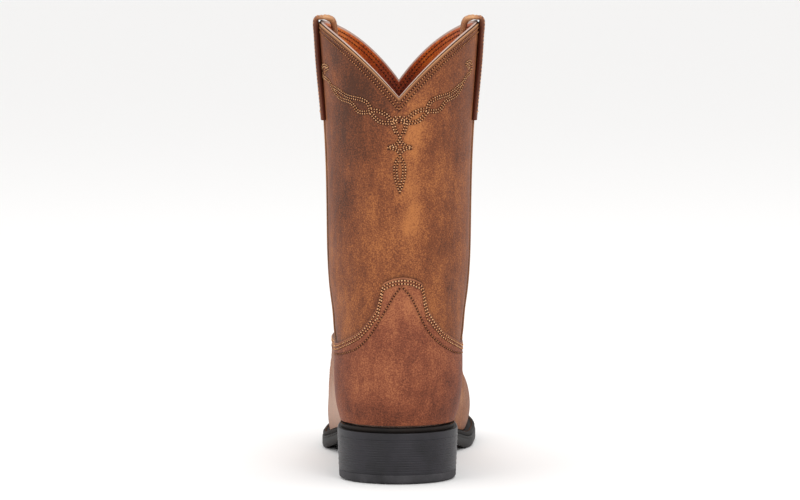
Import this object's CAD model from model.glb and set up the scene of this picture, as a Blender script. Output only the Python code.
import math
from collections import namedtuple

import bpy
import numpy as np
from mathutils.kdtree import KDTree
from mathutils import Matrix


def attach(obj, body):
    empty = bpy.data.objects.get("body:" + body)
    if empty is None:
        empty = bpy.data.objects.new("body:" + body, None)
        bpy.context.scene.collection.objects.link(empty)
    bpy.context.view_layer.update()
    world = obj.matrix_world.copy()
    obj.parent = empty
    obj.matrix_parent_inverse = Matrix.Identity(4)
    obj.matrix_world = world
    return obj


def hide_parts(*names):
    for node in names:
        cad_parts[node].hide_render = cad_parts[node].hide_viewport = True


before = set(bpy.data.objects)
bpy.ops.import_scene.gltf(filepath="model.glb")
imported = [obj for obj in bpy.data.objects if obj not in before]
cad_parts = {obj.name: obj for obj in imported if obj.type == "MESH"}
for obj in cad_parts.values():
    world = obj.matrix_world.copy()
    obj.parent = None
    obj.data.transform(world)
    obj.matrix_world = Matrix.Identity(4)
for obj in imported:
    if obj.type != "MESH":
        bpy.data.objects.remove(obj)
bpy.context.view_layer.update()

# A left roper boot in oiled brown leather, seen from behind. X is medial, Y points to the toe.
# Every leather piece lies on one surface, boot_surface, which is the CAD upper's own.

# Sizes of the boot, as in the CAD
OUTSOLE_LENGTH = 0.300
BALL_WIDTH = 0.1000
HEEL_WIDTH = 0.0756
HEEL_HEIGHT = 0.0280
HEEL_TREAD_LENGTH = 0.070
HEEL_BACK_RAKE = 0.003
HEEL_BREAST_RAKE = 0.005
HEEL_TAPER = 0.0011
TOP_LIFT_THICKNESS = 0.0060
TOP_LIFT_ROUNDING = 0.0026
SOLE_THICKNESS = 0.0078
SEAT_THICKNESS = 0.0044
TOE_SPRING = 0.0120
WELT_THICKNESS = 0.0026
ANKLE_RISE = 0.087
SHAFT_RISE = 0.2508
SHAFT_WIDTH = 0.1022
SHAFT_DEPTH = 0.131
SHAFT_SET_IN = 0.002
SHAFT_LEAN = 0.0009
LEAN_RISE = 0.040
WALL = 0.0026
COLLAR_BACK_DIP = 0.0452
COLLAR_FRONT_DIP = 0.0404
COLLAR_BACK_POINT = 0.20
COLLAR_FRONT_POINT = 0.55
OVERLAY = 0.0014
COUNTER_RISE = 0.0935
VAMP_RISE = 0.1100
SIDE_RISE = 0.0479
PIPING_WIDTH = 0.0030
PIPING_HEIGHT = 0.0010
STRAP_WIDTH = 0.025
STRAP_THICKNESS = 0.0022
STRAP_DROP = 0.062
STRAP_ARCH = 0.0026
STRAP_REACH = 0.0125
GAP = 0.0003
FOOT_GAP = 0.0006
HEEL_BACK = -HEEL_TREAD_LENGTH / 2 - HEEL_BACK_RAKE
SEAT_TOP = HEEL_HEIGHT + SEAT_THICKNESS + WELT_THICKNESS + GAP + FOOT_GAP
LAYER = OVERLAY + GAP
MM = 0.001

# Sizes that the scene alone needs
FACING_DEPTH = 0.030
OUTER_LEATHER = 0.0012
OUTER_LEATHER_DROP = 0.0011     # cut edge of the outer leather, below the collar line
LINING_DROP = 0.0002            # cut edge of the lining, below the collar line
LINING_DEPTH = 0.0013           # outer face of the lining, inside the wall
TAB_SHIFT = 0.018
FOOT_START_LEVEL = 0.15         # where the second layer starts, in rows of FOOT_SECTIONS
HOLE_HALF_WIDTH = 0.00066
HOLE_HALF_LENGTH = 0.00048
# The back and the front of the boot, each from side seam to side seam
BACK_AND_FRONT = ((-0.485, 0.485), (0.515, 1.485))

Tread = namedtuple("Tread", "station shank toe thickness")
TREAD = (
    Tread(0.00, 1.00, 0.00, 0.0), Tread(0.29, 1.00, 0.00, 0.0), Tread(0.35, 0.87, 0.00, 0.0),
    Tread(0.42, 0.62, 0.00, 0.2), Tread(0.52, 0.30, 0.00, 0.7), Tread(0.58, 0.12, 0.00, 0.9),
    Tread(0.64, 0.00, 0.00, 1.0), Tread(0.75, 0.00, 0.00, 1.0), Tread(0.84, 0.00, 0.13, 1.0),
    Tread(0.92, 0.00, 0.46, 1.0), Tread(1.00, 0.00, 1.00, 1.0),
)
Centre = namedtuple("Centre", "station shift")
CENTRE_LINE = (
    Centre(0.00, 0.000), Centre(0.25, 0.000), Centre(0.42, -0.015), Centre(0.58, -0.015),
    Centre(0.68, 0.003), Centre(0.78, 0.025), Centre(0.90, 0.060), Centre(1.00, 0.080),
)
Section = namedtuple("Section", "back front back_rise waist_rise ball_rise front_rise "
                                "seat waist ball heel_round toe_round foot seam")
SOLE_SECTION = Section(0.0, 1.0, 0, 0, 0, 0, 1.0, 0.627, 1.0, 0.125, 0.25, 1.0, 0.28)
FOOT_SECTIONS = (
    Section(0.018, 0.970, 0.00, 0.00, 0.00, 0.00, 0.893, 0.53, 0.853, 0.125, 0.24, 1.0, 0.280),
    Section(0.009, 0.982, 0.11, 0.11, 0.10, 0.10, 0.970, 0.60, 0.885, 0.130, 0.24, 1.0, 0.278),
    Section(0.004, 0.980, 0.22, 0.24, 0.22, 0.21, 1.010, 0.66, 0.885, 0.135, 0.25, 1.0, 0.277),
    Section(0.002, 0.955, 0.34, 0.37, 0.34, 0.33, 1.025, 0.70, 0.860, 0.140, 0.28, 1.0, 0.279),
    Section(0.004, 0.887, 0.44, 0.49, 0.45, 0.46, 1.025, 0.75, 0.830, 0.155, 0.35, 1.0, 0.293),
    Section(0.008, 0.780, 0.54, 0.55, 0.52, 0.51, 1.025, 0.79, 0.815, 0.180, 0.42, 0.8, 0.320),
    Section(0.013, 0.670, 0.67, 0.65, 0.60, 0.54, 1.030, 0.81, 0.800, 0.220, 0.48, 0.55, 0.351),
    Section(0.018, 0.573, 0.82, 0.79, 0.72, 0.61, 1.050, 0.825, 0.79, 0.280, 0.50, 0.3, 0.394),
    Section(0.021, 0.493, 1.00, 0.96, 0.90, 0.78, 1.110, 0.86, 0.830, 0.360, 0.50, 0.1, 0.443),
)
SHAFT_SECTIONS = (
    Section(0.034, 1.008, 0.119, 0.101, 0.077, 0.028, 0.860, 0.866, 0.86, 0.43, 0.5, 0, 0.487),
    Section(0.029, 0.962, 0.277, 0.264, 0.248, 0.235, 0.875, 0.875, 0.87, 0.47, 0.5, 0, 0.5),
    Section(0.020, 0.962, 0.495, 0.495, 0.495, 0.495, 0.892, 0.892, 0.89, 0.50, 0.5, 0, 0.5),
    Section(0.012, 0.977, 0.725, 0.725, 0.725, 0.725, 0.936, 0.936, 0.936, 0.5, 0.5, 0, 0.5),
    Section(0.000, 1.000, 1.000, 1.000, 1.000, 1.000, 1.000, 1.000, 1.00, 0.50, 0.5, 0, 0.5),
)
TOP_LEVEL = float(len(FOOT_SECTIONS) + len(SHAFT_SECTIONS) - 1)
SEAT_STATION = 0.14
WAIST_STATION = 0.42
BALL_STATION = 0.68

Edge = namedtuple("Edge", "way rise")
COUNTER_EDGE = (
    Edge(0.000, 1.00), Edge(0.080, 0.98), Edge(0.135, 0.945), Edge(0.165, 0.92),
    Edge(0.185, 0.88), Edge(0.196, 0.81), Edge(0.206, 0.75), Edge(0.243, 0.57),
    Edge(0.293, 0.45), Edge(0.343, 0.355), Edge(0.436, 0.22), Edge(0.566, 0.115),
    Edge(0.714, 0.035), Edge(1.000, 0.00),
)
VAMP_EDGE = (
    Edge(0.00, 0.00), Edge(0.20, -0.025), Edge(0.40, 0.025), Edge(0.60, 0.235),
    Edge(0.75, 0.545), Edge(0.88, 0.87), Edge(1.00, 1.00),
)
StrapPoint = namedtuple("StrapPoint", "inside bulge rise")
STRAP_PATH = (
    StrapPoint(0.00, 0.00, -1.00), StrapPoint(0.00, 0.02, -0.80), StrapPoint(0.00, 0.05, -0.56),
    StrapPoint(0.00, 0.06, -0.32), StrapPoint(0.00, 0.05, -0.13), StrapPoint(0.00, 0.02, 0.30),
    StrapPoint(0.45, 0.00, 0.88), StrapPoint(0.90, -0.06, 1.00), StrapPoint(1.00, -0.30, 0.60),
    StrapPoint(1.00, -0.44, -0.02), StrapPoint(1.00, -0.47, -0.12),
    StrapPoint(1.00, -0.39, -0.30), StrapPoint(1.00, -0.16, -0.52), StrapPoint(1.00, 0.00, -0.68),
)

# The western stitching on the shaft. way: round the boot from the middle of the back, the side
# seam being 0.5. height: millimetres above the floor. It is repeated on the front of the shaft.
GARLAND = {
    "curl": ((0.354, 257.5), (0.342, 259.8), (0.326, 261.0), (0.352, 262.5), (0.378, 259.8),
             (0.368, 255.6), (0.335, 253.6), (0.310, 249.5)),
    "outer_leaf_upper": ((0.310, 249.5), (0.275, 247.2), (0.238, 243.9), (0.200, 242.2),
                         (0.156, 240.6), (0.130, 237.8), (0.122, 234.5)),
    "outer_leaf_lower": ((0.310, 249.0), (0.275, 243.0), (0.240, 240.6), (0.207, 238.6),
                         (0.182, 234.0), (0.150, 232.8), (0.122, 233.2)),
    "inner_leaf_upper": ((0.122, 234.0), (0.090, 233.6), (0.056, 231.2), (0.030, 227.6),
                         (0.004, 227.0)),
    "inner_leaf_lower": ((0.122, 233.0), (0.092, 228.0), (0.062, 226.2), (0.030, 226.2),
                         (0.004, 227.0)),
}
NECK = ((0.004, 230.4), (-0.020, 227.0), (-0.017, 222.5), (-0.004, 217.6))
STAR = ((0.000, 217.6), (-0.021, 212.8), (-0.053, 210.6), (-0.021, 208.9), (0.000, 205.6))
TEARDROP = ((0.000, 205.3), (-0.019, 201.5), (-0.025, 195.1), (-0.016, 188.4), (0.000, 182.4))

# The inner stitch row of the counter's tab, which runs up to a point
TAB_LINE_LATERAL = ((0.011, 124.0), (-0.020, 118.1), (-0.051, 110.9), (-0.089, 102.4),
                    (-0.128, 94.1), (-0.185, 86.0), (-0.247, 81.7), (-0.340, 78.8),
                    (-0.480, 78.0))
TAB_LINE_MEDIAL = ((0.011, 124.0), (0.046, 118.6), (0.073, 112.2), (0.107, 102.8),
                   (0.142, 95.2), (0.195, 87.9), (0.247, 83.5), (0.320, 80.0), (0.480, 78.0))

# Broad tones of the oiled leather: where oil and handling have left it lighter (above 0) or
# darker (below 0). reach_way and reach_height say how far a patch spreads.
Patch = namedtuple("Patch", "way height reach_way reach_height tone")
SHAFT_TONES = (
    Patch(0.030, 195, 0.060, 60, 0.38), Patch(0.075, 222, 0.050, 16, 0.35),
    Patch(-0.100, 235, 0.120, 26, -0.50), Patch(-0.230, 262, 0.120, 18, -0.60),
    Patch(-0.260, 205, 0.110, 40, -0.45), Patch(0.270, 205, 0.100, 34, -0.25),
    Patch(0.210, 245, 0.090, 18, -0.20), Patch(-0.050, 150, 0.110, 22, 0.20),
    Patch(0.260, 118, 0.055, 12, -0.35), Patch(-0.330, 120, 0.060, 26, 0.20),
    Patch(0.800, 190, 0.140, 50, -0.25), Patch(0.980, 150, 0.060, 60, 0.35),
    Patch(0.068, 195, 0.034, 46, 0.26), Patch(0.220, 125, 0.090, 20, 0.25),
    Patch(0.200, 240, 0.110, 24, 0.30), Patch(-0.220, 240, 0.110, 24, -0.25),
    Patch(-0.300, 160, 0.110, 60, -0.15),
)
FOOT_TONES = (
    Patch(0.000, 112, 0.090, 12, 0.35), Patch(0.020, 66, 0.170, 13, -0.15),
    Patch(0.000, 44, 0.260, 7, -0.45), Patch(-0.300, 60, 0.080, 22, -0.20),
    Patch(0.300, 60, 0.080, 22, -0.20), Patch(0.900, 60, 0.200, 24, 0.20),
)

# Paler places where wax has come up on the outer side of the vamp
VAMP_BLOOMS = (Patch(-0.640, 30, 0.110, 26, 1.15), Patch(-0.860, 60, 0.090, 14, 0.4))

# Creases pressed by hand into the leather. sag: how far the middle hangs, in millimetres.
Crease = namedtuple("Crease", "way height to_way to_height sag width depth")
CREASES = (
    Crease(0.150, 146, 0.420, 132, 5, 13, 1.0), Crease(0.250, 118, 0.460, 126, 4, 10, 0.8),
    Crease(-0.440, 150, -0.200, 128, 5, 12, 0.8), Crease(-0.450, 122, -0.270, 112, 3, 9, 0.6),
    Crease(0.620, 138, 0.950, 122, 5, 9, 1.1), Crease(-0.900, 132, -0.600, 118, 4, 8, 1.0),
    Crease(0.700, 176, 0.940, 168, 4, 12, 0.7), Crease(-0.960, 158, -0.680, 152, 5, 10, 0.8),
    Crease(0.080, 182, 0.300, 196, -5, 22, 0.9), Crease(-0.300, 176, -0.080, 168, 6, 24, 0.9),
)
WAY_MM = 185.0

# Fold lines across the vamp, where the toes bend. along: millimetres from the heel's middle.
Flex = namedtuple("Flex", "along bow width depth")
FLEXES = (Flex(137, 0.0035, 3.2, 0.8), Flex(148, 0.0042, 3.0, 1.1), Flex(160, 0.0050, 3.4, 0.8),
          Flex(125, 0.0030, 3.6, 0.5))


def natural_spline(values):
    """A smooth curve through rows of values, as a function of the row number."""
    values = np.asarray(values, dtype=float)
    last = len(values) - 1
    system = np.eye(last + 1)
    target = np.zeros_like(values)
    for row in range(1, last):
        system[row, row - 1:row + 2] = 1.0, 4.0, 1.0
        target[row] = 6.0 * (values[row + 1] - 2.0 * values[row] + values[row - 1])
    bend = np.linalg.solve(system, target)

    def at(level):
        level = np.clip(np.asarray(level, dtype=float), 0.0, last)
        low = np.clip(np.floor(level).astype(int), 0, last - 1)
        far = (level - low)[..., None]
        near = 1.0 - far
        return (near * values[low] + far * values[low + 1]
                + ((near ** 3 - near) * bend[low] + (far ** 3 - far) * bend[low + 1]) / 6.0)

    return at


def level_curve(keys, values, where):
    """A smooth curve that never overshoots. values holds one number a key in its last axis."""
    keys = np.asarray(keys, dtype=float)
    values = np.asarray(values, dtype=float)
    where = np.clip(np.asarray(where, dtype=float), keys[0], keys[-1])
    values = np.broadcast_to(values, where.shape + keys.shape)
    steps = np.diff(keys)
    slopes = np.diff(values, axis=-1) / steps
    before, after = slopes[..., :-1], slopes[..., 1:]
    same_way = before * after > 0
    total = np.where(same_way, before + after, 1.0)
    inner = np.where(same_way, 2.0 * before * after / total, 0.0)
    tangents = np.concatenate([slopes[..., :1], inner, slopes[..., -1:]], axis=-1)
    low = np.clip(np.searchsorted(keys, where, side="right") - 1, 0, len(keys) - 2)

    def pick(table, index):
        return np.take_along_axis(table, index[..., None], axis=-1)[..., 0]

    step = steps[low]
    share = (where - keys[low]) / step
    start, end = pick(values, low), pick(values, low + 1)
    leave, arrive = pick(tangents, low) * step, pick(tangents, low + 1) * step
    return (start + share * leave
            + share ** 2 * (3 * (end - start) - 2 * leave - arrive)
            + share ** 3 * (2 * (start - end) + leave + arrive))


def column_of(table, name):
    return [getattr(row, name) for row in table]


def station_at(y):
    return (y - HEEL_BACK) / OUTSOLE_LENGTH


def tread_height(y):
    heights = [row.shank * HEEL_HEIGHT + row.toe * TOE_SPRING for row in TREAD]
    return level_curve(column_of(TREAD, "station"), heights, station_at(y))


def sole_top(y):
    extra = [row.thickness * (SOLE_THICKNESS - SEAT_THICKNESS) for row in TREAD]
    thickness = SEAT_THICKNESS + level_curve(column_of(TREAD, "station"), extra, station_at(y))
    return tread_height(y) + thickness


def centre_shift(y):
    shifts = column_of(CENTRE_LINE, "shift")
    return BALL_WIDTH * level_curve(column_of(CENTRE_LINE, "station"), shifts, station_at(y))


def sized_foot_section(share):
    return Section(
        HEEL_BACK + share.back * OUTSOLE_LENGTH, HEEL_BACK + share.front * OUTSOLE_LENGTH,
        share.back_rise * ANKLE_RISE, share.waist_rise * ANKLE_RISE,
        share.ball_rise * ANKLE_RISE, share.front_rise * ANKLE_RISE,
        share.seat * HEEL_WIDTH / 2, share.waist * BALL_WIDTH / 2, share.ball * BALL_WIDTH / 2,
        share.heel_round, share.toe_round, share.foot, share.seam)


def sized_shaft_section(share):
    back = HEEL_BACK + SHAFT_SET_IN
    above = SHAFT_RISE - ANKLE_RISE
    return Section(
        back + share.back * SHAFT_DEPTH, back + share.front * SHAFT_DEPTH,
        ANKLE_RISE + share.back_rise * above, ANKLE_RISE + share.waist_rise * above,
        ANKLE_RISE + share.ball_rise * above, ANKLE_RISE + share.front_rise * above,
        share.seat * SHAFT_WIDTH / 2, share.waist * SHAFT_WIDTH / 2, share.ball * SHAFT_WIDTH / 2,
        share.heel_round, share.toe_round, share.foot, share.seam)


UPPER_SECTIONS = natural_spline([sized_foot_section(row) for row in FOOT_SECTIONS]
                                + [sized_shaft_section(row) for row in SHAFT_SECTIONS])


def loop_point(section, column):
    """Points of one section round the boot, from its back (0) to its front (1)."""
    way = np.abs(column)
    seam_angle = np.arccos(1.0 - 2.0 * section.seam) / math.pi
    angle = math.pi * (way + (seam_angle - 0.5) * np.sin(math.pi * way))
    station = (1.0 - np.cos(angle)) / 2.0
    keys = (0.0, SEAT_STATION, WAIST_STATION, BALL_STATION, 1.0)
    widths = np.stack([section.seat, section.seat, section.waist, section.ball, section.ball], -1)
    half = level_curve(keys, widths, station)
    heel_short = np.clip(1.0 - station / section.heel_round, 0.0, 1.0)
    toe_short = np.clip(1.0 - (1.0 - station) / section.toe_round, 0.0, 1.0)
    half = half * np.sqrt(np.clip(1.0 - heel_short ** 2, 0, 1)
                          * np.clip(1.0 - toe_short ** 2, 0, 1))
    rises = np.stack([section.back_rise, section.waist_rise, section.ball_rise,
                      section.front_rise], -1)
    rise = level_curve((0.0, WAIST_STATION, BALL_STATION, 1.0), rises, station)
    y = section.back + (section.front - section.back) * station
    x = np.sign(column) * half + section.foot * centre_shift(y)
    x = x + SHAFT_LEAN * (1.0 - np.exp(-rise / LEAN_RISE))
    feather = sole_top(y) + GAP + WELT_THICKNESS + FOOT_GAP
    z = section.foot * feather + (1.0 - section.foot) * SEAT_TOP + rise
    return np.stack([x, y, z], axis=-1)


def boot_surface(way, level):
    way, level = np.broadcast_arrays(np.asarray(way, float), np.asarray(level, float))
    sizes = UPPER_SECTIONS(level)
    return loop_point(Section(*np.moveaxis(sizes, -1, 0)), way)


def surface_normal(way, level, step=1e-3):
    way, level = np.broadcast_arrays(np.asarray(way, float), np.asarray(level, float))
    low, high = np.clip(level - step, 0, TOP_LEVEL), np.clip(level + step, 0, TOP_LEVEL)
    up = boot_surface(way, high) - boot_surface(way, low)
    after = np.where(way + step > 1.0, way + step - 2.0, way + step)
    before = np.where(way - step < -1.0, way - step + 2.0, way - step)
    normal = np.cross(boot_surface(after, level) - boot_surface(before, level), up)
    return normal / np.linalg.norm(normal, axis=-1, keepdims=True)


def level_at_height(way, height):
    way, height = np.broadcast_arrays(np.asarray(way, float), np.asarray(height, float))
    low, high = np.zeros(way.shape), np.full(way.shape, TOP_LEVEL)
    for _ in range(20):
        middle = (low + high) / 2
        below = boot_surface(way, middle)[..., 2] < height
        low, high = np.where(below, middle, low), np.where(below, high, middle)
    return (low + high) / 2


def collar_height(way):
    side = np.sin(math.pi * np.abs(way))

    def dip(depth, point):
        return depth * (1.0 - (1.0 + point) * side + point * side ** 2)

    back_dip = dip(COLLAR_BACK_DIP, COLLAR_BACK_POINT)
    front_dip = dip(COLLAR_FRONT_DIP, COLLAR_FRONT_POINT)
    return SEAT_TOP + SHAFT_RISE - np.where(np.abs(way) < 0.5, back_dip, front_dip)


def overlay_edge_height(way):
    """Top edge of the second layer. The counter's tab sits a little to the medial side."""
    way = np.asarray(way, float)
    way = np.abs(np.where(np.abs(way) < 0.5, way - TAB_SHIFT * (1.0 - 4.0 * way ** 2), way))
    tab = level_curve(column_of(COUNTER_EDGE, "way"), column_of(COUNTER_EDGE, "rise"), 2 * way)
    tongue = level_curve(column_of(VAMP_EDGE, "way"), column_of(VAMP_EDGE, "rise"), 2 * way - 1)
    back = SIDE_RISE + tab * (COUNTER_RISE - SIDE_RISE)
    front = SIDE_RISE + tongue * (VAMP_RISE - SIDE_RISE)
    return SEAT_TOP + np.where(way < 0.5, back, front)


def wrapped(way):
    return (np.asarray(way, float) + 1.0) % 2.0 - 1.0


def bend_relief(way, points):
    """How far the hand-made creases and folds push the leather, in metres outward."""
    height = points[..., 2] / MM
    relief = np.zeros(height.shape)
    for crease in CREASES:
        share = np.linspace(0, 1, 15)
        line_way = crease.way + share * (crease.to_way - crease.way)
        line_height = (crease.height + share * (crease.to_height - crease.height)
                       - crease.sag * 4 * share * (1 - share))
        strength = np.sin(math.pi * np.clip(share, 0.02, 0.98)) ** 0.6
        nearest = np.full(height.shape, 1e9)
        power = np.zeros(height.shape)
        for spot_way, spot_height, spot_strength in zip(line_way, line_height, strength):
            distance = np.hypot((way - spot_way) * WAY_MM, height - spot_height)
            closer = distance < nearest
            nearest = np.where(closer, distance, nearest)
            power = np.where(closer, spot_strength, power)
        near = nearest / crease.width
        relief -= MM * crease.depth * power * (np.exp(-near ** 2)
                                               - 0.45 * np.exp(-(near - 1.9) ** 2))
    along, across = points[..., 1] / MM, points[..., 0] / MM
    on_vamp = np.clip((along - 105) / 15, 0, 1) * np.clip((height - 30) / 18, 0, 1)
    for flex in FLEXES:
        near = (along - flex.along + flex.bow * across ** 2) / flex.width
        relief -= MM * flex.depth * on_vamp * (np.exp(-near ** 2)
                                               - 0.5 * np.exp(-(np.abs(near) - 1.7) ** 2))
    return relief


def skin(way, level, lift=0.0):
    """Points and normals of the finished leather, lift metres above the upper's own face."""
    way = wrapped(way)
    points, normals = boot_surface(way, level), surface_normal(way, level)
    fade = np.clip((0.5 - np.abs(np.abs(way) - 0.5)) / 0.5, 0, 1)
    quiet = np.clip(np.abs(np.abs(way) - 0.5) / 0.06, 0, 1)
    below_collar = np.clip((collar_height(way) - points[..., 2]) / 0.02, 0, 1)
    relief = bend_relief(way, points) * quiet * below_collar * (0.6 + 0.4 * fade)
    return points + (lift + relief)[..., None] * normals, normals


# Paths for the stitch rows

def smooth_path(knots, spacing=0.0006):
    """Way and height, in metres, along a smooth line through hand-placed knots."""
    knots = np.array([(way, height * MM) for way, height in knots])
    curve = natural_spline(knots)
    fine = curve(np.linspace(0, len(knots) - 1, 40 * len(knots)))
    length = np.hypot(np.diff(fine[:, 0]) * WAY_MM * MM, np.diff(fine[:, 1]))
    total = np.concatenate([[0], np.cumsum(length)])
    even = np.linspace(0, total[-1], max(3, int(total[-1] / spacing)))
    return np.stack([np.interp(even, total, fine[:, axis]) for axis in (0, 1)], axis=-1)


def laid_on_boot(path, lift=0.0):
    """Points and normals where a (way, height) path lies on the leather."""
    way = wrapped(path[:, 0])
    return skin(way, level_at_height(way, path[:, 1]), lift)


def moved_aside(points, normals, distance):
    """A row beside another, to its left as it runs."""
    ahead = np.gradient(points, axis=0)
    aside = np.cross(normals, ahead)
    aside /= np.linalg.norm(aside, axis=-1, keepdims=True) + 1e-12
    return points + distance * aside


def edge_path(start, end, height_of, drop, count=400):
    """A line that follows a shaped edge at a distance below it, in metres."""
    way = np.linspace(start, end, count)
    slope = np.gradient(height_of(way), way * WAY_MM * MM)
    return np.stack([way, height_of(way) - drop * np.sqrt(1.0 + np.minimum(slope ** 2, 4.0))], -1)


# Mesh building

def grid_faces(rows, columns, round_columns=False, round_rows=False):
    row = np.arange(rows if round_rows else rows - 1)[:, None]
    column = np.arange(columns if round_columns else columns - 1)[None, :]
    above, next_column = (row + 1) % rows, (column + 1) % columns
    return np.stack([row * columns + column, row * columns + next_column,
                     above * columns + next_column, above * columns + column], -1).reshape(-1, 4)


def new_piece(name, points, faces, materials, nodes=(), finish=None, spots=None):
    """A mesh object that rides on the boot. finish holds wear, groove and raw per point."""
    mesh = bpy.data.meshes.new(name)
    mesh.from_pydata(np.asarray(points).reshape(-1, 3).tolist(), [],
                     [list(face) for face in faces])
    for material in materials:
        mesh.materials.append(material)
    if spots is not None:
        mesh.polygons.foreach_set("material_index", np.asarray(spots, dtype=np.int32))
    if finish is not None:
        layer = mesh.attributes.new("finish", "FLOAT_COLOR", "POINT")
        values = np.ones((len(mesh.vertices), 4))
        values[:, :3] = np.asarray(finish).reshape(-1, 3)
        layer.data.foreach_set("color", values.ravel())
    mesh.shade_smooth()
    piece = bpy.data.objects.new(name, mesh)
    bpy.context.scene.collection.objects.link(piece)
    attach(piece, "root")
    if nodes:
        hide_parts(*nodes)
    return piece


SEAM_LINES = []


def sew(name, rows, thread, needle_hole, pitch=0.0019, length=0.0012, width=0.0009):
    """Rows of single stitches, each a small pulled-down bead of thread with its needle hole."""
    ring = np.array([(math.cos(turn), math.sin(turn)) for turn in np.arange(5) * math.tau / 5])
    along = np.array([-1.0, -0.66, 0.0, 0.66, 1.0])
    girth = np.array([0.25, 0.85, 1.0, 0.85, 0.25])
    points, faces, spots = [], [], []
    bead = grid_faces(len(along), len(ring), round_columns=True)
    hexagon = np.array([(math.cos(turn), math.sin(turn)) for turn in np.arange(6) * math.tau / 6])
    for row, normals in rows:
        SEAM_LINES.append(row)
        step = np.linalg.norm(np.diff(row, axis=0), axis=-1)
        total = np.concatenate([[0], np.cumsum(step)])
        count = max(1, int(total[-1] / pitch))
        places = (np.arange(count) + 0.5) * total[-1] / count
        centre = np.stack([np.interp(places, total, row[:, axis]) for axis in range(3)], -1)
        up = np.stack([np.interp(places, total, normals[:, axis]) for axis in range(3)], -1)
        ahead = np.stack([np.interp(places + 0.0003, total, row[:, axis])
                          - np.interp(places - 0.0003, total, row[:, axis])
                          for axis in range(3)], -1)
        ahead /= np.linalg.norm(ahead, axis=-1, keepdims=True) + 1e-12
        aside = np.cross(up, ahead)
        for here, onward, outward, sideways in zip(centre, ahead, up, aside):
            base = len(points)
            for share, thick in zip(along, girth):
                arch = outward * 0.00012 * (1 - 2.2 * share ** 2)
                middle = here + onward * share * length / 2 + arch
                for across, high in ring:
                    points.append(middle + (sideways * across + outward * high * 0.7)
                                  * thick * width / 2)
            faces += [list(face + base) for face in bead]
            faces += [[base + k for k in (4, 3, 2, 1, 0)],
                      [base + 5 * (len(along) - 1) + k for k in range(5)]]
            spots += [0] * (len(bead) + 2)
            base = len(points)
            hole = here + onward * pitch / 2 + outward * 0.00010
            for across, forward in hexagon:
                points.append(hole + sideways * across * HOLE_HALF_WIDTH
                              + onward * forward * HOLE_HALF_LENGTH)
            faces.append([base + k for k in range(6)])
            spots.append(1)
    return new_piece(name, np.array(points), faces, [thread, needle_hole], spots=spots)


# Colours and materials

def linear(colour):
    """An sRGB hex colour as linear RGBA."""
    values = [int(colour[place:place + 2], 16) / 255 for place in (1, 3, 5)]
    return tuple(value / 12.92 if value <= 0.04045 else ((value + 0.055) / 1.055) ** 2.4
                 for value in values) + (1.0,)


def add_node(tree, kind, sockets=None, **settings):
    """One shader node, with its settings, and its sockets set or linked."""
    node = tree.nodes.new(kind)
    for name, value in settings.items():
        setattr(node, name, value)
    for name, value in (sockets or {}).items():
        if isinstance(value, bpy.types.NodeSocket):
            tree.links.new(value, node.inputs[name])
        else:
            node.inputs[name].default_value = value
    return node


def new_material(name, roughness, **sockets):
    material = bpy.data.materials.new(name)
    material.use_nodes = True
    tree = material.node_tree
    shader = tree.nodes["Principled BSDF"]
    shader.inputs["Roughness"].default_value = roughness
    for socket, value in sockets.items():
        shader.inputs[socket.replace("_", " ")].default_value = value
    return material, tree, shader


def ramp(tree, value, stops):
    node = add_node(tree, "ShaderNodeValToRGB", {"Fac": value})
    while len(node.color_ramp.elements) < len(stops):
        node.color_ramp.elements.new(0.5)
    for element, (place, colour) in zip(node.color_ramp.elements, stops):
        element.position = place
        element.color = linear(colour)
    return node.outputs["Color"]


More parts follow.
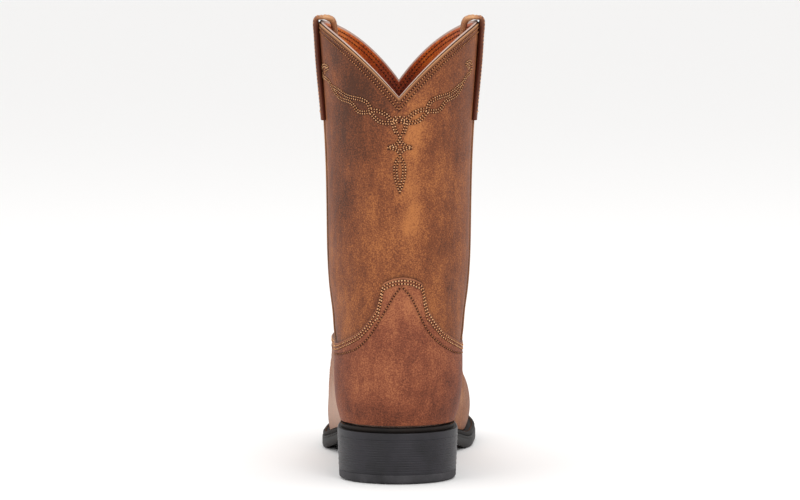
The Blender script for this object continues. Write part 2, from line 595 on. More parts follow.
def oiled_leather(name, dark, middle, light, raw, roughness=0.62, grain=0.45,
                  shadow="#32170c"):
    """Oil-tanned pull-up leather, drummed and hand-rubbed. The oil lies unevenly, so the eye
    sees cloudy light and dark patches with a fine speckle of pores, a dull waxy sheen, and
    paler rubbed leather along folds and cut edges."""
    material, tree, shader = new_material(name, roughness, Specular_IOR_Level=0.22)
    where = add_node(tree, "ShaderNodeTexCoord").outputs["Object"]
    finish = add_node(tree, "ShaderNodeVertexColor", layer_name="finish").outputs["Color"]
    parts = add_node(tree, "ShaderNodeSeparateColor", {"Color": finish})

    # Clouds of oil 33 mm wide, and smears 6 mm wide and twice as long down the boot. Real
    # pores are about 0.2 mm wide, and are drawn at 0.8 mm so that they show.
    clouds = add_node(tree, "ShaderNodeTexNoise", {"Vector": where, "Scale": 30.0, "Detail": 3.0,
                                                   "Roughness": 0.55})
    hung = add_node(tree, "ShaderNodeMapping", {"Vector": where, "Scale": (1.0, 1.0, 0.45)})
    smears = add_node(tree, "ShaderNodeTexNoise", {"Vector": hung.outputs[0], "Scale": 170.0,
                                                   "Detail": 4.0, "Roughness": 0.6})
    pores = add_node(tree, "ShaderNodeTexNoise", {"Vector": where, "Scale": 1250.0,
                                                  "Detail": 1.0, "Roughness": 0.6})
    total = parts.outputs["Red"]
    for source, share in ((clouds, 0.90), (smears, 0.65), (pores, 1.25)):
        centred = add_node(tree, "ShaderNodeMath", {0: source.outputs["Fac"], 1: 0.5},
                           operation="SUBTRACT")
        total = add_node(tree, "ShaderNodeMath", {0: centred.outputs[0], 1: share, 2: total},
                         operation="MULTIPLY_ADD").outputs[0]
    colour = ramp(tree, total, ((0.08, dark), (0.50, middle), (0.95, light)))
    shaded = add_node(tree, "ShaderNodeMix", {"Factor": parts.outputs["Green"], 6: colour,
                                              7: linear(shadow)}, data_type="RGBA")
    rubbed = add_node(tree, "ShaderNodeMix", {"Factor": parts.outputs["Blue"],
                                              6: shaded.outputs[2], 7: linear(raw)},
                      data_type="RGBA")
    tree.links.new(rubbed.outputs[2], shader.inputs["Base Color"])

    # Pebbled grain about 1 mm wide over pits of 2.4 mm and finer
    pebbles = add_node(tree, "ShaderNodeTexVoronoi", {"Vector": where, "Scale": 950.0})
    pits = add_node(tree, "ShaderNodeTexNoise", {"Vector": where, "Scale": 420.0, "Detail": 5.0})
    height = add_node(tree, "ShaderNodeMath", {0: pits.outputs["Fac"], 1: 0.8,
                                               2: pebbles.outputs["Distance"]},
                      operation="MULTIPLY_ADD")
    bump = add_node(tree, "ShaderNodeBump", {"Height": height.outputs[0], "Strength": grain,
                                             "Distance": 0.0003})
    tree.links.new(bump.outputs["Normal"], shader.inputs["Normal"])
    gloss = add_node(tree, "ShaderNodeMapRange", {"Value": smears.outputs["Fac"],
                                                  "To Min": roughness - 0.10,
                                                  "To Max": roughness + 0.12})
    tree.links.new(gloss.outputs[0], shader.inputs["Roughness"])
    return material


def moulded_rubber(name, colour, paler, roughness, speck, tread=0.0):
    """Black moulded rubber. It keeps the mould's satin skin, so the eye sees soft grey
    highlights and a faint dusty speckle, more of it where it was cut or buffed. The dust is
    drawn at 1.1 mm to show, in clouds 17 mm wide."""
    material, tree, shader = new_material(name, roughness, Specular_IOR_Level=0.28)
    where = add_node(tree, "ShaderNodeTexCoord").outputs["Object"]
    dust = add_node(tree, "ShaderNodeTexNoise", {"Vector": where, "Scale": 900.0, "Detail": 3.0,
                                                 "Roughness": 0.8})
    cloud = add_node(tree, "ShaderNodeTexNoise", {"Vector": where, "Scale": 60.0, "Detail": 2.0})
    total = add_node(tree, "ShaderNodeMath", {0: dust.outputs["Fac"], 1: speck,
                                              2: cloud.outputs["Fac"]}, operation="MULTIPLY_ADD")
    tree.links.new(ramp(tree, total.outputs[0], ((0.35, colour), (0.60 + speck, paler))),
                   shader.inputs["Base Color"])
    bump = add_node(tree, "ShaderNodeBump", {"Height": dust.outputs["Fac"], "Distance": 0.0002,
                                             "Strength": 0.25 + speck})
    if tread:
        # Shallow ribs across the walking face alone, one every `tread` metres
        ribs = add_node(tree, "ShaderNodeTexWave", {"Vector": where, "Scale": 0.314 / tread,
                                                    "Distortion": 0.0}, bands_direction="Y")
        facing = add_node(tree, "ShaderNodeSeparateXYZ", {
            "Vector": add_node(tree, "ShaderNodeNewGeometry").outputs["True Normal"]})
        down = add_node(tree, "ShaderNodeMapRange", {"Value": facing.outputs["Z"],
                                                     "From Min": -0.70, "From Max": -0.95})
        height = add_node(tree, "ShaderNodeMath", {0: ribs.outputs["Fac"],
                                                   1: down.outputs[0]}, operation="MULTIPLY")
        bump = add_node(tree, "ShaderNodeBump", {"Height": height.outputs[0], "Distance": 0.0010,
                                                 "Normal": bump.outputs["Normal"]})
    tree.links.new(bump.outputs["Normal"], shader.inputs["Normal"])
    return material


def plain_thread(name, dark, light):
    """Waxed twisted polyester thread. The twist gives fine light and dark bands, drawn at
    1.4 mm to show."""
    material, tree, shader = new_material(name, 0.75, Specular_IOR_Level=0.15)
    where = add_node(tree, "ShaderNodeTexCoord").outputs["Object"]
    twist = add_node(tree, "ShaderNodeTexNoise", {"Vector": where, "Scale": 700.0, "Detail": 1.0})
    tree.links.new(ramp(tree, twist.outputs["Fac"], ((0.35, dark), (0.65, light))),
                   shader.inputs["Base Color"])
    return material


SHAFT_LEATHER = oiled_leather("oiled_leather_shaft", "#452413", "#753f23", "#a66738", "#b3835a")
FOOT_LEATHER = oiled_leather("oiled_leather_foot", "#4c2313", "#7a4029", "#a26440", "#b07c58")
VAMP_LEATHER = oiled_leather("oiled_leather_vamp", "#4f2a18", "#855234", "#aa7650", "#c9ae9f")
TRIM_LEATHER = oiled_leather("oiled_leather_trim", "#5f3822", "#8f5b3a", "#b98457", "#c79a70")
STRAP_LEATHER = oiled_leather("oiled_leather_strap", "#421b0d", "#76391d", "#b3784c", "#cfa177",
                              shadow="#4a180a")
FACING_LEATHER = oiled_leather("vegetable_tanned_facing", "#6e200a", "#b24b0e", "#e38228",
                               "#d8b8a4", 0.5, 0.2, "#5a1606")
LINING_LEATHER = oiled_leather("pigskin_lining", "#8f6c5c", "#b08f80", "#cbb0a2", "#bfa79c",
                               0.7, 0.2)
RAND_RUBBER = moulded_rubber("moulded_rubber_rand", "#0d0806", "#1a110c", 0.75, 0.05)
SOLE_RUBBER = moulded_rubber("moulded_rubber_sole", "#0d0a09", "#1a1512", 0.6, 0.05, 0.004)
HEEL_RUBBER = moulded_rubber("moulded_rubber_heel", "#19181b", "#252328", 0.42, 0.05, 0.004)
LIFT_RUBBER = moulded_rubber("buffed_rubber_top_lift", "#1f1e20", "#434144", 0.75, 0.30, 0.003)
BROWN_THREAD = plain_thread("waxed_thread_brown", "#8a5233", "#b57d52")
RUST_THREAD = plain_thread("waxed_thread_rust", "#6a2a10", "#94481f")
DARK_THREAD = plain_thread("waxed_thread_dark", "#34200f", "#573620")
TAN_THREAD = plain_thread("waxed_thread_tan", "#b5784c", "#d9a97c")
NEEDLE_HOLE = plain_thread("shadowed_needle_hole", "#2a0e06", "#3a1408")


def tone_at(way, height, patches):
    tone = np.full(np.shape(height), 0.5)
    for patch in patches:
        gap = wrapped(way - patch.way)
        tone += 0.5 * patch.tone * np.exp(-(gap / patch.reach_way) ** 2
                                          - ((height / MM - patch.height)
                                             / patch.reach_height) ** 2)
    return tone


def near_seams(points, reach):
    """1 on a stitch row, falling to 0 at reach metres from it."""
    lines = np.concatenate(SEAM_LINES)[::3]
    tree = KDTree(len(lines))
    for index, point in enumerate(lines):
        tree.insert(point, index)
    tree.balance()
    flat = points.reshape(-1, 3)
    distance = np.array([tree.find(point)[2] for point in flat]).reshape(points.shape[:-1])
    return np.clip(1.0 - distance / reach, 0.0, 1.0) ** 2


def uneven_columns(start, end, count, middle, crowd):
    """Columns from start to end, crowded towards middle where the camera looks."""
    share = np.linspace(0, 1, count)
    ways = start + (end - start) * share
    return middle + (ways - middle) * (1 - crowd + crowd * np.abs(ways - middle)
                                       / max(abs(start - middle), abs(end - middle)))


def pulled_in(points, normals, groove, depth=0.00035):
    return points - depth * groove[..., None] * normals


# The shaft, its lining and its facing

def add_shaft():
    """The outer leather of the shaft, from under the overlay up to its cut edge at the collar."""
    columns = uneven_columns(-1.0, 1.0, 321, 0.0, 0.35)[:-1]
    low = level_at_height(columns, overlay_edge_height(columns) - 0.006)
    high = level_at_height(columns, collar_height(columns) - OUTER_LEATHER_DROP)
    shares = np.linspace(0, 1, 230)
    levels = low + (high - low) * shares[:, None]
    ways = np.broadcast_to(columns, levels.shape)
    points, normals = skin(ways, levels)
    groove = near_seams(points, 0.0024)
    points = pulled_in(points, normals, groove)
    tone = tone_at(ways, points[..., 2], SHAFT_TONES)
    under_collar = collar_height(ways) - OUTER_LEATHER_DROP - points[..., 2]
    side = np.abs(np.abs(ways) - 0.5) * WAY_MM
    tone += 0.28 * np.exp(-(side / 9.0) ** 2)
    over_overlay = points[..., 2] - overlay_edge_height(ways)
    shade = 0.60 * groove + 0.75 * np.exp(-np.maximum(over_overlay, 0) / 0.0012)
    raw = 0.45 * np.exp(-np.maximum(under_collar, 0) / 0.0006) + 0.12 * np.exp(-(side / 5.0) ** 2)
    # The cut edge rolls over to the inside of the leather
    top, top_normals = points[-1], normals[-1]
    up = np.gradient(points[-2:], axis=0)[-1]
    up /= np.linalg.norm(up, axis=-1, keepdims=True)
    edge_rows, edge_looks = [], []
    for turn in (0.4, 0.9, 1.57, 2.3, 2.8, 3.14):
        inward = OUTER_LEATHER / 2 * (1 - math.cos(turn))
        rise = 0.0005 * math.sin(turn)
        edge_rows.append(top - inward * top_normals + rise * up)
        raw_edge = 1.0 if turn < 1.0 else 0.5
        edge_looks.append(np.stack([np.full(len(columns), 0.6), np.full(len(columns), 0.3 * turn),
                                    np.full(len(columns), raw_edge)], -1))
    edge_rows.append(edge_rows[-1] - 0.004 * up)
    edge_looks.append(np.stack([np.full(len(columns), 0.0), np.full(len(columns), 1.0),
                                np.zeros(len(columns))], -1))
    points = np.concatenate([points, np.stack(edge_rows)])
    finish = np.concatenate([np.stack([tone, shade, raw], -1), np.stack(edge_looks)])
    new_piece("shaft_outer_leather", points, grid_faces(*points.shape[:2], round_columns=True),
              [SHAFT_LEATHER], ("upper",), finish)


def inside_wall(ways, levels, depth):
    """Points on the inner side of the wall, depth metres in from its outer face."""
    points, normals = skin(ways, levels)
    return points - depth * normals, normals


# Finish (tone, shade, raw) of the lining's cut edge, and of the dark gap beside it
LINING_EDGE = (0.5, 0.12, 0.70)
DARK_GAP = (0.0, 1.0, 0.0)


def add_lining():
    """The lining leather down the inside, with its own pale edge at the collar."""
    columns = uneven_columns(-1.0, 1.0, 241, 0.0, 0.3)[:-1]
    high = level_at_height(columns, collar_height(columns) - LINING_DROP)
    rows, looks = [], []
    for drop, look in ((0.0030, DARK_GAP), (0.0001, DARK_GAP), (0.0000, LINING_EDGE)):
        point, normal = inside_wall(columns, high, LINING_DEPTH)
        rows.append(point - np.array([0, 0, drop]))
        looks.append(np.tile(look, (len(columns), 1)))
    for turn in (0.0, 0.5, 1.0, 1.57, 2.1, 2.6, 3.0):
        depth = LINING_DEPTH + 0.00055 * (1 - math.cos(turn))
        point, normal = inside_wall(columns, high, depth)
        rows.append(point + np.array([0, 0, 0.0001 + 0.0005 * math.sin(turn)]))
        looks.append(np.tile(LINING_EDGE, (len(columns), 1)))
    for share in np.linspace(1, 0, 90)[1:]:
        level = 0.06 + (high - 0.06) * share
        point, normal = inside_wall(columns, level, WALL)
        rows.append(point)
        looks.append(np.tile([0.5, 0.0, 0.0], (len(columns), 1)))
    points, finish = np.stack(rows), np.stack(looks)
    new_piece("shaft_lining", points, grid_faces(*points.shape[:2], round_columns=True),
              [LINING_LEATHER], (), finish)


def add_facing():
    """The rust-brown facing band sewn inside the collar."""
    columns = uneven_columns(-1.0, 1.0, 241, 0.0, 0.3)[:-1]
    top = collar_height(columns) - 0.0012
    rows, looks = [], []
    first, normal = inside_wall(columns, level_at_height(columns, top), WALL - 0.0001)
    rows.append(first)
    looks.append(np.tile([0.35, 0.3, 0.3], (len(columns), 1)))
    for share in np.linspace(0, 1, 28):
        level = level_at_height(columns, top - 0.0004 - share * FACING_DEPTH)
        point, normal = inside_wall(columns, level, WALL + 0.0005)
        rows.append(point)
        depth = 0.35 * np.clip((0.262 - point[:, 2]) / 0.02, 0, 1)
        looks.append(np.stack([0.55 - depth, depth, np.zeros(len(columns))], -1))
    last, normal = inside_wall(columns, level, WALL - 0.0001)
    rows.append(last)
    looks.append(np.tile([0.3, 0.4, 0.0], (len(columns), 1)))
    points, finish = np.stack(rows), np.stack(looks)
    new_piece("collar_facing", points, grid_faces(*points.shape[:2], round_columns=True),
              [FACING_LEATHER], (), finish)
    rows = []
    for drop in (0.0035, 0.0062):
        path = edge_path(-1.0, 1.0, collar_height, drop, 900)
        point, normal = inside_wall(path[:, 0], level_at_height(path[:, 0], path[:, 1]),
                                    WALL + 0.0005)
        rows.append((point, -normal))
    sew("facing_stitches", rows, RUST_THREAD, NEEDLE_HOLE, 0.0024, 0.0015,
        0.0007)


# The second layer: counter behind, vamp in front

def add_overlay_piece(name, start, end, middle, count, row_count, node, tones, leather,
                      blooms=()):
    """An overlay from the welt up to its shaped, rounded edge, with its two side edges."""
    ways = uneven_columns(start, end, count, middle, 0.25)
    edge_level = level_at_height(wrapped(ways), overlay_edge_height(wrapped(ways)))
    shares = np.linspace(0, 1, row_count)
    levels = FOOT_START_LEVEL + (edge_level - FOOT_START_LEVEL) * shares[:, None]
    # Each side stops short of the seam, to leave room for the piping
    beside_piping = (PIPING_WIDTH / 2 + GAP) / 0.185
    ways = middle + (ways - middle) * (1.0 - 2.0 * beside_piping)
    ways = np.broadcast_to(ways, levels.shape)
    points, normals = skin(ways, levels, LAYER)
    groove = near_seams(points, 0.0022)
    points = pulled_in(points, normals, groove, 0.0003)
    tone = tone_at(wrapped(ways), points[..., 2], tones)
    to_edge = overlay_edge_height(wrapped(ways)) - points[..., 2]
    tone += 0.15 * np.exp(-to_edge / 0.0015)
    shade = 0.55 * groove
    raw = 0.25 * np.exp(-to_edge / 0.0006) + tone_at(wrapped(ways), points[..., 2], blooms) - 0.5
    looks = np.stack([tone, shade, np.clip(raw, 0, 1)], -1)
    top, top_normals = points[-1], normals[-1]
    up = points[-1] - points[-2]
    up /= np.linalg.norm(up, axis=-1, keepdims=True)
    edge_rows, edge_looks = [], []
    for turn in (0.5, 1.0, 1.57):
        edge_rows.append(top - LAYER * (1 - math.cos(turn)) * top_normals
                         + 0.0006 * math.sin(turn) * up)
        edge_looks.append(np.tile([0.45, 0.15 + 0.35 * turn, 0.10], (count, 1)))
    points = np.concatenate([points, np.stack(edge_rows)])
    finish = np.concatenate([looks, np.stack(edge_looks)])
    all_normals = np.concatenate([normals, np.stack([top_normals] * 3)])
    # The side edges turn down onto the leather below
    left = points[:, :1] - LAYER * all_normals[:, :1]
    right = points[:, -1:] - LAYER * all_normals[:, -1:]
    points = np.concatenate([left, points, right], axis=1)
    finish = np.concatenate([finish[:, :1], finish, finish[:, -1:]], axis=1)
    finish[:, (0, -1), 1] = 0.5
    new_piece(name, points, grid_faces(*points.shape[:2]), [leather],
              (node,), finish)


def add_side_seam(word, side):
    """Rounded piping down the side seam, rubbed paler along its crest."""
    top = level_at_height(0.5 * side, collar_height(0.5) - STRAP_DROP - 2 * GAP)
    levels = np.linspace(FOOT_START_LEVEL, float(top), 260)[:, None]
    angles = np.linspace(0, math.pi, 9)[None, :]
    ahead = boot_surface(0.501 * side, levels) - boot_surface(0.499 * side, levels)
    wide = PIPING_WIDTH / 2 * 0.002 / np.linalg.norm(ahead, axis=-1)
    ways = 0.5 * side - wide * np.cos(angles)
    points, normals = skin(ways, levels + 0 * angles)
    # Low down the piping stands on the second layer
    over = np.clip((SEAT_TOP + SIDE_RISE + 0.0015 - points[..., 2]) / 0.004, 0, 1)
    over = 0.0012 * over * over * (3 - 2 * over)
    points = points + (over + PIPING_HEIGHT * 1.2 * np.sin(angles))[..., None] * normals
    crest = np.sin(angles) ** 3 + 0 * levels
    finish = np.stack([0.35 + 0.25 * crest, 0.5 * (1 - crest), 0.25 * crest], -1)
    new_piece("side_piping_" + word, points, grid_faces(*points.shape[:2]), [TRIM_LEATHER],
              ("side_seam_" + word,), finish)


# The pull straps

def strap_line(stations):
    rises = [row.rise * (STRAP_ARCH if row.rise > 0 else STRAP_DROP) for row in STRAP_PATH]
    clear_outside = STRAP_THICKNESS / 2 + 2 * GAP
    clear_inside = WALL + STRAP_THICKNESS / 2 + 2 * GAP
    outs = [clear_outside - row.inside * (clear_outside + clear_inside) + row.bulge * STRAP_REACH
            for row in STRAP_PATH]
    path = natural_spline(np.stack([outs, rises], axis=-1))
    return path(np.linspace(0, len(STRAP_PATH) - 1, stations))


def add_pull_strap(word, side):
    """A folded strap with turned edges, over the collar and down the inside."""
    collar = float(collar_height(0.5))
    ahead = boot_surface(0.501, TOP_LEVEL - 1.0) - boot_surface(0.499, TOP_LEVEL - 1.0)
    half = STRAP_WIDTH / 2 * 0.002 / np.linalg.norm(ahead)
    across_shares = np.linspace(-1, 1, 19)
    middle = []
    for out, rise in strap_line(150):
        ways = side * (0.5 + across_shares * half)
        level = level_at_height(ways, collar + min(rise, 0.0))
        outward = surface_normal(ways, level) * np.array([1, 1, 0])
        outward /= np.linalg.norm(outward, axis=-1, keepdims=True)
        lift = np.array([0, 0, max(rise, 0.0)])
        middle.append(boot_surface(ways, level) + out * outward + lift)
    middle = np.stack(middle)
    along = np.gradient(middle, axis=0)
    across = np.gradient(middle, axis=1)
    normals = np.cross(across, along) * side
    normals /= np.linalg.norm(normals, axis=-1, keepdims=True)
    edge = np.abs(across_shares)
    thick = STRAP_THICKNESS / 2 * np.sqrt(np.clip(1 - np.clip((edge - 0.86) / 0.14, 0, 1) ** 2,
                                                  0.02, 1))
    thick = thick - 0.0002 * np.exp(-((edge - 0.72) / 0.08) ** 2)
    share = np.linspace(0, 1, len(middle))[:, None]
    face = middle + thick[None, :, None] * normals
    # The leather is doubled down the inner leg and at the sewn end of the outer leg
    doubled = 1.0 + 0.9 * np.clip((share - 0.50) / 0.08, 0, 1) * np.clip((0.93 - share) / 0.1,
                                                                         0, 1)
    doubled = doubled + 0.9 * np.clip((0.40 - share) / 0.05, 0, 1)
    back = middle - (doubled * thick[None, :])[..., None] * normals
    ring = np.concatenate([face, back[:, ::-1]], axis=1)
    rubbed = 0.35 * np.exp(-((edge - 0.92) / 0.09) ** 2)
    top_rub = 0.8 * np.exp(-((share - 0.53) / 0.10) ** 2) + 0.3 * (share > 0.5)
    under = np.clip((0.42 - share) / 0.05, 0, 1) * np.clip((edge - 0.84) / 0.08, 0, 1)
    turned_edge = np.exp(-((edge - 0.72) / 0.07) ** 2)
    look = np.stack([0.35 + 0.3 * rubbed + 0.5 * top_rub - 0.30 * under,
                     0.55 * under + 0.3 * turned_edge, 0.1 * rubbed + 0.6 * top_rub], -1)
    dark_side = look[:, ::-1] + np.clip((0.46 - share) / 0.04, 0, 1)[..., None] * (0, 0.8, 0)
    finish = np.clip(np.concatenate([look, dark_side], axis=1), 0, 1)
    faces = grid_faces(ring.shape[0], ring.shape[1], round_columns=True).tolist()
    width = ring.shape[1]
    for row, flip in ((0, False), (ring.shape[0] - 1, True)):
        for k in range(len(across_shares) - 1):
            quad = [row * width + k, row * width + k + 1,
                    row * width + width - 2 - k, row * width + width - 1 - k]
            faces.append(quad[::-1] if flip else quad)
    new_piece("pull_strap_" + word + "_leather", ring, faces, [STRAP_LEATHER],
              ("pull_strap_" + word,), finish)
    rows = []
    for place in (3, 15):
        rows.append((face[4:-4, place], normals[4:-4, place]))
    rows.append((face[5, 3:16], normals[5, 3:16]))
    sew("pull_strap_" + word + "_stitches", rows, TAN_THREAD, NEEDLE_HOLE,
        0.0024, 0.0017)


# Stitch rows on the shaft and the overlays

def garland_rows():
    """The garland, star and teardrop of the back, in paired rows, and again on the front."""
    rows = []
    for turned in (False, True):
        for side in (-1, 1):
            for line in GARLAND.values():
                path = smooth_path(line)
                if side < 0:
                    # The lateral half runs a little lower and wider
                    reach = path[:, 0] / 0.36
                    path[:, 1] -= 3.0 * MM * reach ** 1.5
                    path[:, 0] *= 1.0 + 0.16 * reach ** 4
                path[:, 0] *= side
                if turned:
                    path[:, 0] = wrapped(1.0 - path[:, 0])
                points, normals = laid_on_boot(path)
                for distance in (-0.0008, 0.0008):
                    rows.append((moved_aside(points, normals, distance), normals))
            for line, distances in ((NECK, (0.0, 0.0015)), (STAR, (0.0, -0.0016)),
                                    (TEARDROP, (0.0, -0.0017))):
                path = smooth_path(line)
                path[:, 0] = 0.004 + path[:, 0] * -side
                if turned:
                    path[:, 0] = wrapped(1.0 - path[:, 0])
                points, normals = laid_on_boot(path)
                for distance in distances:
                    keep = slice(4, -4) if distance else slice(None)
                    rows.append((moved_aside(points, normals, distance * side
                                             * (-1 if turned else 1))[keep], normals[keep]))
    return rows


def rows_below(height_of, drops, spans, lift=0.0):
    """Rows that follow a shaped edge, each at its own distance below it."""
    rows = []
    for drop in drops:
        for start, end in spans:
            path = edge_path(start, end, lambda way: height_of(wrapped(way)), drop, 700)
            path[:, 0] = wrapped(path[:, 0])
            rows.append(laid_on_boot(path, lift))
    return rows


def add_stitching():
    """All rows on the outside: collar, garland, and the edges of counter and vamp."""
    rows = rows_below(collar_height, (0.0030, 0.0058), BACK_AND_FRONT)
    sew("collar_stitches", rows, BROWN_THREAD, NEEDLE_HOLE, 0.0018, 0.0011)
    sew("garland_stitches", garland_rows(), TAN_THREAD, NEEDLE_HOLE, 0.0017,
        0.0010, 0.0008)
    rows = rows_below(overlay_edge_height, (0.0016, 0.0036), BACK_AND_FRONT, LAYER)
    sew("overlay_stitches", rows, TAN_THREAD, NEEDLE_HOLE, 0.0019, 0.0013)
    rows = rows_below(overlay_edge_height, (0.0085,), BACK_AND_FRONT[1:], LAYER)
    for line in (TAB_LINE_LATERAL, TAB_LINE_MEDIAL):
        rows.append(laid_on_boot(smooth_path(line), LAYER))
    sew("heel_stay_stitches", rows, BROWN_THREAD, NEEDLE_HOLE, 0.0019, 0.0012,
        0.0006)


# The sole, welt and heel

def sole_outline(columns, inset):
    section = sized_foot_section(SOLE_SECTION)
    section = section._replace(
        back=section.back + inset, front=section.front - inset, seat=section.seat - inset,
        waist=section.waist - inset, ball=section.ball - inset)
    return loop_point(Section(*[np.full(columns.shape, value) for value in section]), columns)


def capped_rings(rings):
    """Faces for stacked rings, with one flat cap at each end."""
    rows, columns = len(rings), len(rings[0])
    faces = grid_faces(rows, columns, round_columns=True).tolist()
    faces.append(list(range(columns))[::-1])
    faces.append([(rows - 1) * columns + k for k in range(columns)])
    return faces


def add_outsole():
    """The moulded sole: rounded lower edge, with a fine groove round its side."""
    columns = np.linspace(-1, 1, 361)[:-1]
    rings = []
    station = station_at(sole_outline(columns, 0.0)[:, 1])
    forward = np.clip((station - 0.27) / 0.06, 0.0, 1.0)
    # Lower edge, side, groove and upper edge; at the heel seat all but the last is near flush
    for inset, share in ((0.0018, 0.0), (0.0011, 0.04), (0.0005, 0.12), (0.0001, 0.24),
                         (0.0, 0.36), (0.0, 0.72), (0.0004, 0.76), (0.0004, 0.82), (0.0, 0.86),
                         (0.0001, 0.97), (0.0005, 1.0)):
        ring = sole_outline(columns, 0.0)
        inner = sole_outline(columns, 0.004)
        tight = 1.0 if share > 0.9 else 0.03 + 0.97 * forward[:, None]
        ring += (inner - ring) * inset / 0.004 * tight
        low, high = tread_height(ring[:, 1]), sole_top(ring[:, 1])
        ring[:, 2] = low + share * (high - low)
        rings.append(ring)
    points, faces = np.concatenate(rings), capped_rings(rings)
    ahead = [station_at(points[list(face), 1].mean()) > 0.30 for face in faces]
    new_piece("rubber_outsole", points, faces, [HEEL_RUBBER, SOLE_RUBBER],
              ("outsole",), spots=ahead)


def feather_line(columns, inset):
    ring = boot_surface(columns, np.zeros(columns.shape))
    inward = surface_normal(columns, np.zeros(columns.shape)) * np.array([-1, -1, 0])
    inward /= np.linalg.norm(inward, axis=-1, keepdims=True)
    return ring + inset * inward


def add_welt():
    """The welt round the forefoot and the black rand round the heel seat."""
    columns = np.linspace(-1, 1, 361)[:-1]
    outer, further = sole_outline(columns, 0.0005), sole_outline(columns, 0.0021)
    behind = np.clip((0.34 - station_at(outer[:, 1])) / 0.05, 0.0, 1.0)[:, None]
    outer += (further - outer) * behind
    inner = feather_line(columns, WALL + 2 * GAP)
    rings = []
    for share, rise in ((0.0, 0.0), (0.0, 0.72), (0.02, 0.95), (0.06, 1.0), (0.5, 1.0),
                        (1.0, 1.0), (1.0, 0.0)):
        ring = outer + share * (inner - outer)
        ring[:, 2] = sole_top(ring[:, 1]) + GAP + rise * WELT_THICKNESS
        rings.append(ring)
    points = np.stack(rings)
    new_piece("welt_strip", points, grid_faces(*points.shape[:2], round_columns=True,
                                               round_rows=True),
              [RAND_RUBBER], ("welt",))
    ways = wrapped(np.linspace(0.30, 1.70, 900))
    path = sole_outline(ways, 0.0024)
    path[:, 2] = sole_top(path[:, 1]) + GAP + WELT_THICKNESS + 0.0001
    sew("welt_stitches", [(path, np.tile([0.0, 0.0, 1.0], (len(path), 1)))], DARK_THREAD,
        NEEDLE_HOLE, 0.0034, 0.0026, 0.0010)


def add_insole():
    columns = np.linspace(-1, 1, 241)[:-1]
    rings = []
    for rise, inset in ((0.0010, 0.0), (0.0050, 0.0), (0.0058, 0.0003), (0.0059, 0.0012)):
        ring = feather_line(columns, WALL + 3 * GAP + inset)
        ring[:, 2] = sole_top(ring[:, 1]) + rise
        rings.append(ring)
    finish = np.tile([0.5, 0.1, 0.0], (len(rings) * len(columns), 1))
    new_piece("sock_lining_insole", np.stack(rings), capped_rings(rings), [LINING_LEATHER],
              ("insole",), finish)


def heel_ring(share, inset, stations):
    back = HEEL_BACK + (1 - share) * HEEL_BACK_RAKE + inset
    breast = HEEL_TREAD_LENGTH / 2 + share * HEEL_BREAST_RAKE - inset
    y = back + (breast - back) * stations
    short = np.clip(1.0 - (y - back) / (HEEL_WIDTH / 2), 0.0, 1.0)
    half = (HEEL_WIDTH / 2 - (1 - share) * HEEL_TAPER - inset) * np.sqrt(1.0 - short ** 2)
    medial = np.stack([half, y, np.zeros_like(y)], axis=-1)
    return np.concatenate([medial, (medial * np.array([-1, 1, 1]))[:0:-1]])


HEEL_STATIONS = np.concatenate([(1.0 - np.cos(np.linspace(0, 0.5, 70) * math.pi)) ** 0.9,
                                [1.0]])


def add_heel():
    """The heel block, with seven fine moulded ribs round it."""
    low, rings = TOP_LIFT_THICKNESS + 0.0001, []
    for share in np.linspace(0, 1, 141):
        whole = (low + share * (HEEL_HEIGHT - low)) / HEEL_HEIGHT
        inset = 0.0
        for groove in np.arange(0.10, 0.96, 0.14):
            inset += 0.00016 * math.exp(-((share - groove) / 0.012) ** 2)
            inset -= 0.00012 * math.exp(-((share - groove - 0.03) / 0.012) ** 2)
        inset += 0.0001 * math.exp(-share / 0.01)
        ring = heel_ring(whole, inset, HEEL_STATIONS)
        high = tread_height(ring[:, 1]) - 0.0001
        ring[:, 2] = low + share * (high - low)
        rings.append(ring)
    new_piece("heel_block", np.stack(rings), capped_rings(rings), [HEEL_RUBBER],
              ("heel",))


def add_top_lift():
    """The matte wear layer, rounded at its lower corner."""
    rings = []
    corner = [(TOP_LIFT_ROUNDING * (1 - math.cos(turn)), TOP_LIFT_ROUNDING * (1 - math.sin(turn)))
              for turn in np.linspace(0, math.pi / 2, 8)]
    for height, inset in corner + [(TOP_LIFT_THICKNESS - 0.0006, 0.0),
                                   (TOP_LIFT_THICKNESS, 0.0001)]:
        ring = heel_ring(height / HEEL_HEIGHT, inset, HEEL_STATIONS)
        ring[:, 2] = height
        rings.append(ring)
    new_piece("rubber_top_lift", np.stack(rings), capped_rings(rings), [LIFT_RUBBER],
              ("top_lift",))


# Camera, floor and light

def add_camera():
    """Behind the boot and a little above it, with a long lens, as the photograph was taken."""
    camera = bpy.data.objects.new("camera", bpy.data.cameras.new("camera"))
    camera.data.sensor_width = 36.0
    camera.data.lens = 220.13
    camera.data.clip_end = 60.0
    camera.location = (0.0, -3.0618, 0.40048)
    camera.rotation_euler = (math.radians(90.0 - 4.7877), 0.0, math.radians(-0.0293))
    bpy.context.scene.collection.objects.link(camera)
    bpy.context.scene.camera = camera


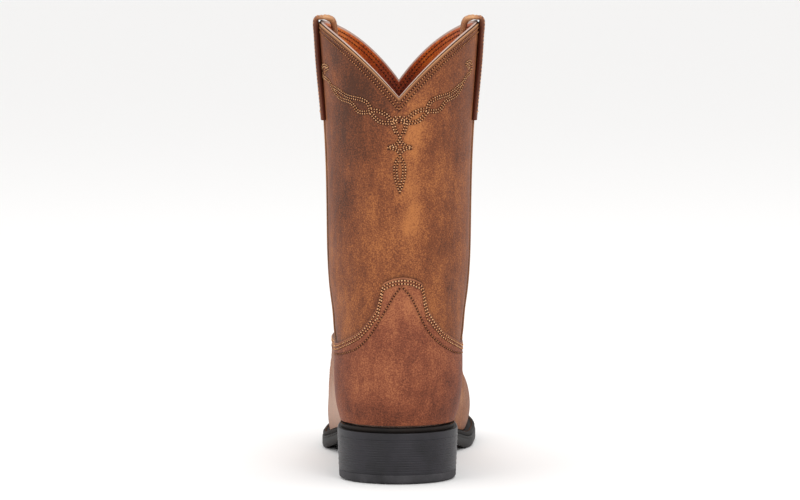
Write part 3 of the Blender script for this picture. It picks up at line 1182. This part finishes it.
def add_floor():
    mesh = bpy.data.meshes.new("floor")
    mesh.from_pydata([(-15, -10, 0), (15, -10, 0), (15, 30, 0), (-15, 30, 0)], [], [(0, 1, 2, 3)])
    floor = bpy.data.objects.new("floor", mesh)
    material, _, shader = new_material("pale_studio_floor", 0.9)
    shader.inputs["Base Color"].default_value = linear("#f6f5f4")
    mesh.materials.append(material)
    bpy.context.scene.collection.objects.link(floor)


def add_lamp(name, place, aim, size, power):
    """A soft white panel lamp at place, turned to aim."""
    light = bpy.data.lights.new(name, "AREA")
    light.shape = "RECTANGLE"
    light.size, light.size_y = size
    light.energy = power
    lamp = bpy.data.objects.new(name, light)
    lamp.location = place
    beam = np.array(aim) - np.array(place)
    lamp.rotation_euler = (math.atan2(math.hypot(beam[0], beam[1]), -beam[2]), 0.0,
                           math.atan2(beam[1], beam[0]) - math.pi / 2)
    bpy.context.scene.collection.objects.link(lamp)


def add_light():
    """Even white light with soft panels, and a weak one at each side for the edges."""
    world = bpy.data.worlds.new("studio")
    world.use_nodes = True
    backdrop = world.node_tree.nodes["Background"]
    backdrop.inputs["Color"].default_value = linear("#ffffff")
    backdrop.inputs["Strength"].default_value = 0.98
    bpy.context.scene.world = world
    add_lamp("key", (0.9, -2.2, 1.5), (0.0, 0.0, 0.15), (1.2, 1.2), 20)
    add_lamp("fill", (-1.6, -1.6, 0.9), (0.0, 0.0, 0.15), (1.2, 1.6), 8)
    add_lamp("top", (0.0, 0.4, 2.2), (0.0, 0.0, 0.1), (1.6, 1.6), 10)
    add_lamp("edge_lateral", (-1.7, 0.75, 0.45), (0.0, 0.05, 0.12), (0.5, 1.2), 3)
    add_lamp("edge_medial", (1.7, 0.75, 0.45), (0.0, 0.05, 0.12), (0.5, 1.2), 1)
    bpy.context.scene.view_settings.view_transform = "Standard"


add_camera()
add_floor()
add_light()
add_stitching()
add_shaft()
add_lining()
add_overlay_piece("counter_leather", -0.5, 0.5, 0.0, 221, 150, "counter", FOOT_TONES,
                  FOOT_LEATHER)
add_overlay_piece("vamp_leather", 0.5, 1.5, 1.0, 281, 170, "vamp", FOOT_TONES, VAMP_LEATHER,
                  VAMP_BLOOMS)
add_facing()
for word, side in (("lateral", -1), ("medial", 1)):
    add_side_seam(word, side)
    add_pull_strap(word, side)
add_outsole()
add_welt()
add_insole()
add_heel()
add_top_lift()
